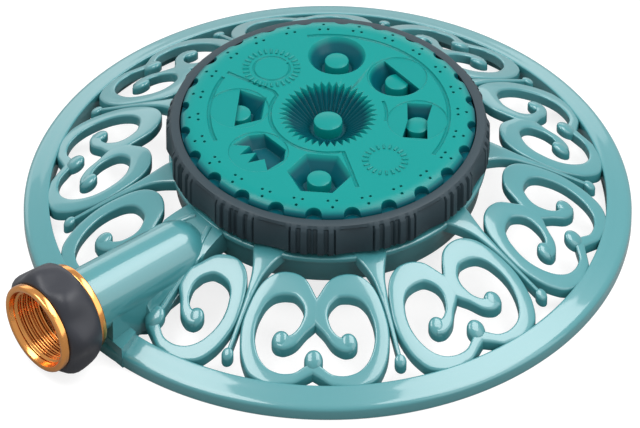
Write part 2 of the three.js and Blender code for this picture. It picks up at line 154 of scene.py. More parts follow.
@dataclass
class Maker:
    """A mesh under construction, with the few shapes the sprinkler is made of."""

    bm: bmesh.types.BMesh

    @classmethod
    def start(cls) -> "Maker":
        """Returns a maker with an empty mesh."""
        return cls(bmesh.new())

    def absorb(self, other: "Maker") -> None:
        """Takes over another maker's mesh."""
        mesh = bpy.data.meshes.new("part")
        other.bm.to_mesh(mesh)
        other.bm.free()
        self.bm.from_mesh(mesh)
        bpy.data.meshes.remove(mesh)

    def shift(self, matrix: Matrix) -> "Maker":
        """Moves the whole mesh and returns the maker."""
        bmesh.ops.transform(self.bm, matrix=matrix, verts=self.bm.verts[:])
        return self

    def lathe(self, profile: Profile, steps: int = 192, axis: str = "Z") -> "Maker":
        """Turns a closed profile of (radius, distance) about an axis; it may start and end on that axis."""
        part = Maker.start()
        verts = [part.bm.verts.new((r, 0, z)) for r, z in profile]
        on_axis = profile[0][0] == 0 and profile[-1][0] == 0
        pairs = list(zip(verts, verts[1:])) + ([] if on_axis else [(verts[-1], verts[0])])
        edges = [part.bm.edges.new(pair) for pair in pairs]
        bmesh.ops.spin(
            part.bm, geom=verts + edges, cent=(0, 0, 0), axis=(0, 0, 1), angle=2 * math.pi, steps=steps,
            use_merge=True,
        )
        bmesh.ops.remove_doubles(part.bm, verts=part.bm.verts[:], dist=1e-4)
        bmesh.ops.recalc_face_normals(part.bm, faces=part.bm.faces[:])
        if axis == "X":
            part.shift(Matrix.Translation((0, 0, INLET_Z)) @ Matrix.Rotation(-math.pi / 2, 4, "Y"))
        self.absorb(part)
        return self

    def post(self, centre: Vector, radius: float, height: float, sides: int) -> "Maker":
        """Adds an upright closed cylinder that stands on centre."""
        bmesh.ops.create_cone(
            self.bm, cap_ends=True, segments=sides, radius1=radius, radius2=radius, depth=height,
            matrix=Matrix.Translation(centre + Vector((0, 0, height / 2))),
        )
        return self

    def prism(self, low: list[Vector], high: list[Vector]) -> "Maker":
        """Adds a closed solid between two outlines with the same number of points."""
        rings = [[self.bm.verts.new(p) for p in outline] for outline in (low, high)]
        count = len(low)
        faces = [self.bm.faces.new(rings[0][::-1]), self.bm.faces.new(rings[1])]
        for i in range(count):
            j = (i + 1) % count
            faces.append(self.bm.faces.new((rings[0][i], rings[0][j], rings[1][j], rings[1][i])))
        bmesh.ops.recalc_face_normals(self.bm, faces=faces)
        return self

    def band(
        self, left: list[Vector], right: list[Vector], top: Surface, depth: float, lift: float
    ) -> "Maker":
        """Adds a strap between two edges, with softly rounded upper edges.

        Args:
            left: plan points of one edge.
            right: plan points of the other edge, as many as on the left.
            top: height of the strap's upper face as a function of the distance from the axis.
            depth: how far the strap reaches below its upper face.
            lift: how far the upper face stands above the surface.

        Returns:
            The maker.
        """
        grid = []
        for a, b in zip(left, right):
            width = (b - a).length
            edge = min(0.9, width * 0.4)
            side = [(0, depth + lift), (0, edge)]
            side += [(edge * (1 - math.cos(t)), edge * (1 - math.sin(t))) for t in (0.4, 0.8, 1.2)]
            side.append((edge, 0.0))
            crown = [(width * share, -0.04 * width * share * (1 - share)) for share in (0.35, 0.5, 0.65)]
            across = side + crown + [(width - inset, drop) for inset, drop in reversed(side)]
            row = []
            for inset, drop in across:
                point = a.lerp(b, inset / width)
                point.z = top(point.xy.length) + lift - drop
                row.append(self.bm.verts.new(point))
            grid.append(row)
        faces = [self.bm.faces.new(grid[0]), self.bm.faces.new(grid[-1][::-1])]
        for row, after in zip(grid, grid[1:]):
            for k in range(len(row)):
                m = (k + 1) % len(row)
                faces.append(self.bm.faces.new((row[k], after[k], after[m], row[m])))
        bmesh.ops.recalc_face_normals(self.bm, faces=faces)
        return self

    def button(self, centre: Vector, radius: float, top: Surface, depth: float, lift: float) -> "Maker":
        """Adds a round boss with a domed top that leans with the surface it stands on."""
        dome = [(0.0, 0.0), (0.35, 0.03), (0.6, 0.09), (0.8, 0.2), (0.93, 0.36), (1.0, 0.6)]
        section = [(r * radius, -drop * radius) for r, drop in dome]
        part = Maker.start().lathe([*section, (radius, -depth), (0, -depth)], 28)
        for vert in part.bm.verts:
            vert.co.xy += centre.xy
            vert.co.z += top(vert.co.xy.length) + lift
        self.absorb(part)
        return self

    def tube(self, path: list[Vector], radius: float, sides: int) -> "Maker":
        """Adds a round rod along an open path, with flat ends."""
        rings = []
        for i, point in enumerate(path):
            along = (path[min(i + 1, len(path) - 1)] - path[max(i - 1, 0)]).normalized()
            side = along.cross(Vector((0, 0, 1))).normalized()
            up = side.cross(along)
            turns = [2 * math.pi * k / sides for k in range(sides)]
            spots = [point + radius * (side * math.cos(t) + up * math.sin(t)) for t in turns]
            rings.append([self.bm.verts.new(spot) for spot in spots])
        faces = [self.bm.faces.new(rings[0][::-1]), self.bm.faces.new(rings[-1])]
        for a, b in zip(rings, rings[1:]):
            for k in range(sides):
                m = (k + 1) % sides
                faces.append(self.bm.faces.new((a[k], a[m], b[m], b[k])))
        bmesh.ops.recalc_face_normals(self.bm, faces=faces)
        return self

    def wrapped(self, rows: list[list[Vector]]) -> "Maker":
        """Adds a ring-shaped skin: rows run round the object, and the last row meets the first."""
        grid = [[self.bm.verts.new(p) for p in row] for row in rows]
        faces = []
        for i, row in enumerate(grid):
            below = grid[(i + 1) % len(grid)]
            for k in range(len(row)):
                m = (k + 1) % len(row)
                faces.append(self.bm.faces.new((row[k], row[m], below[m], below[k])))
        bmesh.ops.recalc_face_normals(self.bm, faces=faces)
        return self

    def loose(self, name: str) -> bpy.types.Object:
        """Returns the mesh as an object in the scene, and frees the maker's own copy."""
        mesh = bpy.data.meshes.new(name)
        self.bm.to_mesh(mesh)
        self.bm.free()
        obj = bpy.data.objects.new(name, mesh)
        bpy.context.scene.collection.objects.link(obj)
        return obj


def settled(obj: bpy.types.Object) -> Maker:
    """Returns an object's mesh with its modifiers applied, and removes the object."""
    bpy.context.view_layer.update()
    mesh = bpy.data.meshes.new_from_object(obj.evaluated_get(bpy.context.evaluated_depsgraph_get()))
    maker = Maker.start()
    maker.bm.from_mesh(mesh)
    old = obj.data
    bpy.data.objects.remove(obj)
    bpy.data.meshes.remove(old)
    bpy.data.meshes.remove(mesh)
    return maker


def carved(body: Maker, cutter: Maker) -> Maker:
    """Returns the body with the cutter's shape removed."""
    base, tool = body.loose("body"), cutter.loose("cutter")
    cut = base.modifiers.new("cut", "BOOLEAN")
    cut.operation = "DIFFERENCE"
    cut.solver = "EXACT"
    cut.use_self = True
    cut.object = tool
    result = settled(base)
    mesh = tool.data
    bpy.data.objects.remove(tool)
    bpy.data.meshes.remove(mesh)
    return result


# ---------------------------------------------------------------- finishes


@dataclass(frozen=True)
class Finish:
    """A painted, moulded or metal surface."""

    GRAIN_SCALE = 900.0
    MOTTLE_SCALE = 45.0

    name: str
    colour: tuple[float, float, float]
    roughness: float
    metallic: float = 0.0
    coat: float = 0.0
    coat_roughness: float = 0.05
    specular: float = 0.5
    grain_depth: float = 0.0
    mottle: float = 0.06
    edge_round: float = 0.0
    # The next two fields paint shade: a dark colour, and the heights in metres over which the surface darkens
    # towards it below the top face.
    recess_shade: tuple[float, float, float] | None = None
    recess_shade_span: tuple[float, float] = (0.0, 1.0)

    def material(self) -> bpy.types.Material:
        """Returns the finish as a material, made once."""
        found = bpy.data.materials.get(self.name)
        return found or self._made()

    def _made(self) -> bpy.types.Material:
        """Builds the node tree: a slightly uneven colour, a fine grain, softly rounded edges and, where a
        recess shade is set, painted shade that darkens the colour with depth.
        """
        material = bpy.data.materials.new(self.name)
        material.use_nodes = True
        tree = material.node_tree
        shader = tree.nodes["Principled BSDF"]
        shader.inputs["Roughness"].default_value = self.roughness
        shader.inputs["Metallic"].default_value = self.metallic
        shader.inputs["Coat Weight"].default_value = self.coat
        shader.inputs["Coat Roughness"].default_value = self.coat_roughness
        shader.inputs["Specular IOR Level"].default_value = self.specular
        shader.inputs["Base Color"].default_value = (*self.colour, 1)
        place = tree.nodes.new("ShaderNodeTexCoord")
        cloud = tree.nodes.new("ShaderNodeGroup")
        cloud.node_tree = mottle_group()
        cloud.inputs["Scale"].default_value = self.MOTTLE_SCALE
        tree.links.new(place.outputs["Object"], cloud.inputs["Vector"])
        mix = tree.nodes.new("ShaderNodeMix")
        mix.data_type = "RGBA"
        mix.inputs["A"].default_value = (*[c * (1 - self.mottle) for c in self.colour], 1)
        mix.inputs["B"].default_value = (*[min(c * (1 + self.mottle), 1) for c in self.colour], 1)
        tree.links.new(cloud.outputs["Mask"], mix.inputs["Factor"])
        tree.links.new(mix.outputs["Result"], shader.inputs["Base Color"])
        # Painted shade: the colour darkens with depth below the top face.
        if self.recess_shade:
            self._paint_recess_shade(tree, place, mix, shader)
        normal = None
        if self.edge_round:
            soft = tree.nodes.new("ShaderNodeBevel")
            soft.samples = 4
            soft.inputs["Radius"].default_value = self.edge_round
            normal = soft.outputs["Normal"]
        if self.grain_depth:
            grain = tree.nodes.new("ShaderNodeTexNoise")
            grain.inputs["Scale"].default_value = self.GRAIN_SCALE
            grain.inputs["Detail"].default_value = 3
            tree.links.new(place.outputs["Object"], grain.inputs["Vector"])
            bump = tree.nodes.new("ShaderNodeBump")
            bump.inputs["Distance"].default_value = self.grain_depth
            bump.inputs["Strength"].default_value = 1
            tree.links.new(grain.outputs["Fac"], bump.inputs["Height"])
            if normal:
                tree.links.new(normal, bump.inputs["Normal"])
            normal = bump.outputs["Normal"]
        if normal:
            tree.links.new(normal, shader.inputs["Normal"])
        return material

    def _paint_recess_shade(
        self, tree: bpy.types.NodeTree, place: bpy.types.Node, top: bpy.types.Node, shader: bpy.types.Node
    ) -> None:
        """Paints shade: blends towards the dark recess shade colour as the surface drops from the top face
        into a pit, so pits, notches and the rim's lower side look shaded.

        Args:
            tree: the material's nodes.
            place: the texture coordinates.
            top: the mix that gives the colour of the top face.
            shader: the surface shader.
        """
        split = tree.nodes.new("ShaderNodeSeparateXYZ")
        tree.links.new(place.outputs["Object"], split.inputs["Vector"])
        drop = tree.nodes.new("ShaderNodeMapRange")
        drop.interpolation_type = "SMOOTHSTEP"
        drop.inputs["From Min"].default_value = self.recess_shade_span[0]
        drop.inputs["From Max"].default_value = self.recess_shade_span[1]
        tree.links.new(split.outputs["Z"], drop.inputs["Value"])
        blend = tree.nodes.new("ShaderNodeMix")
        blend.data_type = "RGBA"
        blend.inputs["A"].default_value = (*self.recess_shade, 1)
        tree.links.new(drop.outputs["Result"], blend.inputs["Factor"])
        tree.links.new(top.outputs["Result"], blend.inputs["B"])
        tree.links.new(blend.outputs["Result"], shader.inputs["Base Color"])


def mottle_group() -> bpy.types.NodeTree:
    """Returns the shared group that gives a soft cloudy mask between 0 and 1."""
    found = bpy.data.node_groups.get("mottle")
    if found:
        return found
    group = bpy.data.node_groups.new("mottle", "ShaderNodeTree")
    group.interface.new_socket("Vector", in_out="INPUT", socket_type="NodeSocketVector")
    group.interface.new_socket("Scale", in_out="INPUT", socket_type="NodeSocketFloat")
    group.interface.new_socket("Mask", in_out="OUTPUT", socket_type="NodeSocketFloat")
    source = group.nodes.new("NodeGroupInput")
    result = group.nodes.new("NodeGroupOutput")
    noise = group.nodes.new("ShaderNodeTexNoise")
    noise.inputs["Detail"].default_value = 4
    group.links.new(source.outputs["Vector"], noise.inputs["Vector"])
    group.links.new(source.outputs["Scale"], noise.inputs["Scale"])
    group.links.new(noise.outputs["Fac"], result.inputs["Mask"])
    return group


PAINT = Finish("duck egg enamel", (0.038, 0.192, 0.211), 0.35, coat=1.0, coat_roughness=0.07, mottle=0.02)
TEAL = Finish("teal moulding", (0.001, 0.185, 0.172), 0.28, specular=0.25, mottle=0.02, edge_round=0.00035)
# The disc's copy of the teal moulding with painted shade: its colour darkens from 46.72 mm down to 44.5 mm,
# in the pits, the notches and under the rim.
TEAL_DISC_SHADED = Finish(
    "teal disc", (0.001, 0.185, 0.172), 0.28, specular=0.2, mottle=0.02, edge_round=0.00035,
    recess_shade=(0.001, 0.065, 0.085), recess_shade_span=(0.0445, 0.04672),
)
GRIP = Finish("charcoal grip", (0.021, 0.036, 0.045), 0.5, specular=0.28, grain_depth=0.00002, mottle=0.05)
SLEEVE = Finish("charcoal rubber", (0.024, 0.026, 0.033), 0.4, specular=0.3, grain_depth=0.00001, mottle=0.05)
BRASS = Finish("polished brass", (0.80, 0.35, 0.105), 0.17, metallic=1.0, mottle=0.03)
STEEL = Finish("stainless steel", (0.62, 0.63, 0.65), 0.25, metallic=1.0, mottle=0.03)
SEAL = Finish("black seal rubber", (0.012, 0.012, 0.013), 0.6, mottle=0.1)
ACETAL = Finish("natural acetal", (0.78, 0.76, 0.7), 0.45, mottle=0.03)


@dataclass
class Piece:
    """Where a finished mesh belongs: its body, the part it stands for, its slot and its finish."""

    name: str
    body: Body
    part: str
    slot: str
    finish: Finish
    sharp: float = 40.0

    def finished(self, maker: Maker) -> None:
        """Puts the maker's mesh in the scene as this piece, in metres in the shared frame."""
        maker.shift(Matrix.Scale(MM, 4) @ Matrix.Translation((AXIS_X, 0, 0)))
        obj = maker.loose(self.name)
        mesh = obj.data
        mesh.shade_smooth()
        mesh.set_sharp_from_angle(angle=math.radians(self.sharp))
        mesh.materials.append(self.finish.material())
        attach(obj, self.body.value)
        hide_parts(self.part)
        LOG.info("%s: %d faces", self.name, len(mesh.polygons))


# ---------------------------------------------------------------- base casting


@dataclass
class BaseCasting:
    """The cast base: ring, scrollwork, spokes, hub, and the inlet pipe on its web."""

    units: int = 8
    inlet_half_angle: float = 28.57
    strap_depth: float = 4.2
    pipe_radius: float = 12.0
    pipe_end: float = 111.4

    DOME = [
        (106.4, 5.6), (102.6, 6.9), (98.9, 8.4), (94.0, 11.0), (87.5, 14.6), (78.7, 19.5), (70.2, 23.9),
        (62.1, 27.4), (57.2, 28.7), (50.0, 29.0),
    ]
    SCROLL_OUTSIDE = [
        (8.9, 0.812), (6.8, 0.814), (4.3, 0.796), (2.1, 0.76), (0, 0.735), (-1.5, 0.71), (-1.4, 0.68),
        (0.4, 0.645), (3.1, 0.6), (6.0, 0.581), (9.7, 0.576), (13.2, 0.587), (16.0, 0.616), (17.5, 0.658),
        (18.2, 0.715), (18.15, 0.766), (17.25, 0.815), (15.75, 0.862), (13.2, 0.905), (9.0, 0.925),
        (5.0, 0.918), (3.6, 0.912), (1.2, 0.89), (-1.2, 0.872),
    ]
    SCROLL_INSIDE = [
        (7.3, 0.773), (6.3, 0.771), (5.2, 0.762), (4.0, 0.742), (3.3, 0.716), (3.2, 0.7), (3.5, 0.684),
        (4.4, 0.668), (6.2, 0.652), (8.2, 0.65), (10.2, 0.654), (12.1, 0.665), (13.6, 0.688), (14.3, 0.715),
        (14.6, 0.742), (14.4, 0.777), (13.4, 0.816), (11.8, 0.851), (9.7, 0.875), (7.4, 0.8845),
        (5.4, 0.884), (3.7, 0.877), (1.8, 0.857), (-0.6, 0.835),
    ]
    SPOKE_RADII = [0.49, 0.53, 0.568, 0.61, 0.655, 0.72, 0.85]
    SPOKE_WIDTHS = [6.4, 5.0, 3.4, 2.1, 1.5, 0.9, 0.7]
    RIDGE = [(4.0, 0.53), (6.4, 0.6), (7.7, 0.665), (8.7, 0.74), (9.2, 0.8), (9.2, 0.835)]
    SHOULDER = [(0, 58.5), (3.5, 58.7), (6.5, 59.6), (8.8, 61.2), (10.4, 63.5), (11.4, 66.4), (11.7, 69.5)]
    RING = [(98.9, 0.0), (BASE_R, 0.0), (BASE_R, 4.6), (106.5, 5.75), (102.6, 7.1), (98.9, 8.6)]

    @property
    def pitch(self) -> float:
        """Degrees between full scroll units."""
        return (360 - 2 * self.inlet_half_angle) / self.units

    @property
    def web_edge(self) -> float:
        """Degrees from the pipe to the ridge at each edge of its web."""
        return self.inlet_half_angle - self.pitch / 2

    def build(self) -> None:
        """Makes the pieces of the casting."""
        top = profile_at(self.DOME)
        work = Maker.start()
        self._scrolls(work, top)
        self._spokes(work, top)
        Piece("casting_scrolls", Body.BASE, "base_casting", "teal_paint", PAINT, 50).finished(work)
        inlet = Maker.start()
        self._inlet(inlet, top)
        Piece("casting_inlet", Body.BASE, "base_casting", "teal_paint", PAINT, 50).finished(inlet)
        rim = Maker.start().lathe(rounded(self.RING, 0.8), 360)
        Piece("casting_ring", Body.BASE, "base_casting", "teal_paint", PAINT, 50).finished(rim)
        Piece("casting_hub", Body.BASE, "base_casting", "teal_paint", PAINT, 50).finished(self._hub())

    def _half(self, centre: float, side: int, points: Profile) -> list[Vector]:
        """Returns the smooth line through knots of (angle, share of radius) on one side of a unit."""
        return spline([polar(centre + side * a, BASE_R * r) for a, r in points], 5, closed=False)

    def _half_unit(self, work: Maker, top: Surface, centre: float, side: int) -> None:
        """Adds one C scroll: a single strap that ends in a curl, and the curl's round button."""
        outside = self._half(centre, side, self.SCROLL_OUTSIDE)
        work.band(outside, self._half(centre, side, self.SCROLL_INSIDE), top, self.strap_depth, 0.01 * side)
        work.button(polar(centre + side * 8.0, BASE_R * 0.786), 3.2, top, self.strap_depth, 0.3)

    def _edges(self, path: list[Vector], widths: list[float]) -> tuple[list[Vector], list[Vector]]:
        """Returns the two edges of a strap with a half width at each point of its path."""
        left, right = [], []
        for i, point in enumerate(path):
            along = path[min(i + 1, len(path) - 1)] - path[max(i - 1, 0)]
            across = Vector((-along.y, along.x, 0)).normalized() * widths[i]
            left.append(point + across)
            right.append(point - across)
        return left, right

    def _scrolls(self, work: Maker, top: Surface) -> None:
        """Adds the scroll units, and a half unit on each side of the inlet."""
        first = 180 + self.inlet_half_angle
        centres = [first + self.pitch * (i + 0.5) for i in range(self.units)]
        halves = [(c, s) for c in centres for s in (1, -1)]
        halves += [(180 + self.web_edge, 1), (180 - self.web_edge, -1)]
        for centre, side in halves:
            self._half_unit(work, top, centre, side)
        for centre in centres:
            work.button(polar(centre, BASE_R * 0.84), 3.3, top, self.strap_depth, 1.1)

    def _spokes(self, work: Maker, top: Surface) -> None:
        """Adds the tapering spokes between the units, each with a bead at its tip."""
        widths = spline([Vector((w, 0, 0)) for w in self.SPOKE_WIDTHS], 6, closed=False)
        for i in range(self.units + 1):
            angle = 180 + self.inlet_half_angle + self.pitch * i
            path = spline([polar(angle, BASE_R * r) for r in self.SPOKE_RADII], 6, closed=False)
            work.band(*self._edges(path, [w.x for w in widths]), top, self.strap_depth, 0.15)
            work.button(polar(angle, BASE_R * 0.86), 2.1, top, self.strap_depth, 0.6)

    def _inlet(self, work: Maker, top: Surface) -> None:
        """Adds the pipe, its web, the ridges at the web's edges and the foot on the ring."""
        self._web(work, top)
        for side in (-1, 1):
            self._ridge(work, top, side)
        work.lathe([*self.SHOULDER, (self.pipe_radius, self.pipe_end), (0, self.pipe_end)], 128, "X")
        self._keel(work)
        self._foot(work)

    def _web(self, work: Maker, top: Surface) -> None:
        """Adds the web: a sheet that fans out from the hub and thins towards its edges."""
        rows, across = 60, 44
        inner, outer = 50.0, 100.5
        grid = []
        for i in range(rows + 1):
            radius = inner + (outer - inner) * i / rows
            row = []
            for k in range(across + 1):
                spread = self.web_edge + 0.3 - 4.6 * smoothstep(90.0, 94.0, radius)
                point = polar(180 + spread * (2 * k / across - 1), radius)
                point.z = self._web_height(top, point)
                row.append(work.bm.verts.new(point))
            grid.append(row)
        faces = []
        for row, after in zip(grid, grid[1:]):
            for k in range(across):
                faces.append(work.bm.faces.new((row[k], after[k], after[k + 1], row[k + 1])))
        grown = bmesh.ops.extrude_face_region(work.bm, geom=faces, use_keep_orig=True)
        for vert in grown["geom"]:
            if isinstance(vert, bmesh.types.BMVert):
                depth = 5.0 + 4.5 * (1 - smoothstep(0.0, 0.8, self._web_share(vert.co)))
                vert.co.z = max(top(vert.co.xy.length) - depth, 0.5)
        bmesh.ops.recalc_face_normals(work.bm, faces=work.bm.faces[:])

    def _web_height(self, top: Surface, point: Vector) -> float:
        """Returns the height of the web's surface: a valley beside the ridge, swept up to the pipe."""
        share = self._web_share(point)
        valley = top(point.xy.length) - 0.6 - 2.6 * smoothstep(0.1, 0.7, share)
        rise = min(max(INLET_Z + 1.0 - valley, 0.4), 7.0)
        return valley + rise * (1 - share) ** 1.7

    def _web_share(self, point: Vector) -> float:
        """Returns 0 at the pipe's side and 1 at the web's edge."""
        side = self.pipe_radius - 0.7
        edge = max(point.xy.length * math.sin(math.radians(self.web_edge)), self.pipe_radius + 0.2)
        return min(max((abs(point.y) - side) / (edge - side), 0.0), 1.0)

    def _ridge(self, work: Maker, top: Surface, side: int) -> None:
        """Adds the thin ridge along one edge of the web, and the knob at its outer end."""
        path = spline([polar(180 + side * a, BASE_R * r) for a, r in self.RIDGE], 6, closed=False)
        work.band(*self._edges(path, [1.15] * len(path)), top, self.strap_depth, 0.5)
        work.button(polar(180 + side * 9.1, BASE_R * 0.842), 3.6, top, self.strap_depth, 1.6)

    def _keel(self, work: Maker) -> None:
        """Adds the straight-sided wall under the pipe, which comes down to the ring."""
        inner, outer = (-62, 11.6, 13.0), (-106.5, 11.8, 1.5)
        corners = [(outer, -1), (inner, -1), (inner, 1), (outer, 1)]
        low = [Vector((x, side * half, z)) for (x, half, z), side in corners]
        work.prism(low, [Vector((p.x, p.y, INLET_Z)) for p in low])

    def _foot(self, work: Maker) -> None:
        """Adds the block where the pipe stands on the ring."""
        inner, outer = (-98.6, 15.2, 10.4), (-106.8, 17.5, 8.6)
        corners = [(outer, -1), (inner, -1), (inner, 1), (outer, 1)]
        low = [Vector((x, side * half, 0)) for (x, half, _), side in corners]
        high = [Vector((x, side * half * 0.97, z)) for (x, half, z), side in corners]
        work.prism(low, high)

    def _hub(self) -> Maker:
        """Returns the hub: a skirt with an overhanging lip and a deck under the turret."""
        profile = [
            (7.5, 24.0), (51, 24.6), (51, 16.5), (54, 16.5), (54.7, 25.8), (56.2, 26.6), (56.2, 28.4),
            (55.6, 28.8), (50.5, 28.8), (50.5, 27.6), (45.1, 27.6), (45.1, 28.8), (7.5, 28.8),
        ]
        return Maker.start().lathe(rounded(profile, 0.5), 192)


# ---------------------------------------------------------------- turret


@dataclass
class SprayDisc:
    """The pattern disc: pits round a pleated cone, a notched rim and fine jet holes."""

    top: float = 46.8
    low: float = 38.2
    radius: float = 52.0
    pit_floor: float = 40.4
    port_radius: float = 31.6
    notches: int = 24
    pleats: int = 40

    STRIP = [(-4.4, -9.8), (4.4, -9.8), (3.4, 0), (4.4, 9.8), (-4.4, 9.8), (-3.4, 0)]
    WALL = [(0.6, -11), (0.6, 9.8), (-9.3, 5), (-9.6, -6.8)]
    FAN = [
        (-8, -7), (-2.5, -10), (5, -9.5), (0.5, -5), (6.5, -3.5), (1, -0.5), (7, 2), (0.8, 4.4), (4, 10),
        (-4.5, 9.5), (-8.5, 5.5),
    ]

    def build(self) -> None:
        """Makes the disc and the posts that stand in its pits."""
        disc = Maker.start().lathe(self._profile(), 240)
        disc = carved(disc, self._cuts())
        disc = carved(disc, self._engraving())
        self._nubs(disc)
        Piece("pattern_disc", Body.TURRET, "spray_disc", "teal_plastic", TEAL_DISC_SHADED, 32).finished(disc)
        Piece("pattern_posts", Body.TURRET, "post_plate", "teal_plastic", TEAL, 32).finished(self._posts())

    def _profile(self) -> Profile:
        """Returns the disc's section, with a broad round at its rim."""
        rim = [
            (0.2, self.low), (0.0, 43.4), (0.2, 44.7), (0.8, 45.5), (1.8, 46.1), (3.2, 46.5), (4.8, 46.75),
            (6.2, self.top),
        ]
        return [(0, self.low), *[(self.radius - inset, z) for inset, z in rim], (0, self.top)]

    def at(self, angle: float, u: float = 0.0, w: float = 0.0, z: float = 0.0) -> Vector:
        """Returns the point u outwards and w along increasing angle from a pit's post."""
        turn = math.radians(angle)
        x = (self.port_radius + u) * math.cos(turn) - w * math.sin(turn)
        y = (self.port_radius + u) * math.sin(turn) + w * math.cos(turn)
        return Vector((x, y, z))

    def _pit(self, cutter: Maker, angle: float, outline: Profile, lean: Lean, floor: float) -> None:
        """Adds the cutter of a pit.

        Args:
            cutter: the maker that takes it.
            angle: the pit's place round the disc.
            outline: the pit's mouth, as points about its post.
            lean: gives the point of the floor that lies below a point of the mouth.
            floor: height of the pit's floor.
        """
        high = [self.at(angle, u, w, self.top + 0.6) for u, w in outline]
        low = [self.at(angle, *lean(u, w), floor) for u, w in outline]
        cutter.prism(low, high)

    def _bowl(self) -> tuple[Profile, Lean]:
        """Returns the mouth of the round pit with one straight wall, and how its sides lean."""
        wall = 2.2
        inside = [(u, w) for u, w in circle(10.7, 64) if u < wall]
        chord = math.sqrt(10.7**2 - wall**2)
        first = [(u, w) for u, w in inside if w >= 0]
        last = [(u, w) for u, w in inside if w < 0]
        outline = [(wall, chord), *first, *last, (wall, -chord)]
        return outline, lambda u, w: (wall if u == wall else u * 0.5, w * 0.55)

    def _cuts(self) -> Maker:
        """Returns the cutters of the pits, the cone, the rim's notches and the jets."""
        cutter = Maker.start()
        hexagon = [(11.9 * math.sin(math.pi * k / 3), 11.9 * math.cos(math.pi * k / 3)) for k in range(6)]
        pits = [
            (45, circle(10.7, 64), lambda u, w: (u * 0.5, w * 0.5)),
            (0, *self._bowl()),
            (315, self.STRIP, lambda u, w: (u, w * 0.6)),
            (225, hexagon, lambda u, w: (u * 0.5, w * 0.5)),
            (135, self.WALL, lambda u, w: (u if u > 0 else u * 0.5, w * 0.6)),
        ]
        for angle, outline, lean in pits:
            self._pit(cutter, angle, outline, lean, self.pit_floor)
        self._pit(cutter, 180, self.FAN, lambda u, w: (u * 0.7 - 1.5, w * 0.6), self.pit_floor + 1.2)
        for angle in (0, 135, 180, 315):
            self._pit(cutter, angle, circle(11.0, 72), lambda u, w: (u * 0.95, w * 0.95), self.top - 0.4)
        self._cone(cutter)
        self._rim(cutter)
        return cutter

    def _rim(self, cutter: Maker) -> None:
        """Adds the cutters of the rim's notches, and of three jet holes between each pair of them."""
        step = 360 / self.notches
        for k in range(self.notches):
            cutter.post(polar(step * k, self.radius + 0.2, 42.7), 3.0, 6, 32)
        for k in range(self.notches):
            middle = step * (k + 0.5)
            for turn, radius in ((-1.9, 45.8), (1.9, 45.8), (0, 48.8)):
                cutter.post(polar(middle + turn, radius, 44), 0.55, 5, 12)

    def _cone(self, cutter: Maker) -> None:
        """Adds the cutter of the pleated cone round the centre post."""
        high, low = [], []
        for k in range(2 * self.pleats):
            angle = 180 * k / self.pleats
            high.append(polar(angle, 18.2 if k % 2 else 15.2, self.top + 0.4))
            low.append(polar(angle, 7.4 if k % 2 else 5.7, 39.4))
        cutter.prism(low, high)

    def _groove(self, cutter: Maker, path: list[Vector], width: float = 1.0) -> None:
        """Adds the cutter of a shallow soft groove along a path."""
        cutter.tube([Vector((p.x, p.y, self.top)) for p in path], 0.7 * width, 10)

    def _arc(self, start: float, end: float, radius: float, centre: Vector | None = None) -> list[Vector]:
        """Returns points on an arc about the axis or about another centre."""
        count = max(int(abs(end - start) / 5), 3)
        middle = centre or Vector((0, 0, 0))
        return [middle + polar(start + (end - start) * k / count, radius) for k in range(count + 1)]

    def _engraving(self) -> Maker:
        """Returns the cutters of the lines that frame the patterns."""
        cutter = Maker.start()
        bend = self._arc(112, 245.5, 20.6)
        self._groove(cutter, [polar(108.5, 42.0), polar(108.5, 22.5), *bend, polar(245.5, 40.0)])
        self._groove(cutter, self._arc(60.5, -69.5, 42.6))
        self._groove(cutter, self._arc(112.5, 160.5, 42.0))
        self._groove(cutter, self._arc(-49.5, -19.5, 20.6), 0.8)
        self._groove(cutter, self._arc(0, 350, 6.4, self.at(90)), 0.6)
        return cutter

    def _nubs(self, disc: Maker) -> None:
        """Adds the fine raised marks of the two icon positions."""
        rise = Vector((0, 0, self.top + 0.1))
        for angle, count, near, far in ((90, 28, 8.0, 10.2), (270, 20, 5.9, 8.0)):
            for k in range(count):
                turn = 360 * k / count
                disc.tube([self.at(angle) + polar(turn, r) + rise for r in (near, far)], 0.42, 8)

    def _posts(self) -> Maker:
        """Returns the plate under the disc with the posts that stand in the pits."""
        maker = Maker.start().lathe([(0, 33.7), (51.4, 33.7), (51.4, 37.9), (0, 37.9)], 96)
        for angle in (0, 45, 135, 225, 315):
            spot = self.at(angle)
            maker.absorb(self._post(4.3, 44.6).shift(Matrix.Translation(spot)))
        maker.absorb(self._post(5.1, 43.8))
        return maker

    def _post(self, radius: float, height: float) -> Maker:
        """Returns a post with a softly rounded top."""
        profile = [(0, 37.0), (radius, 37.0), (radius, height - 0.5), (radius - 0.15, height - 0.15),
                   (radius - 0.5, height), (0, height)]
        return Maker.start().lathe(profile, 48)


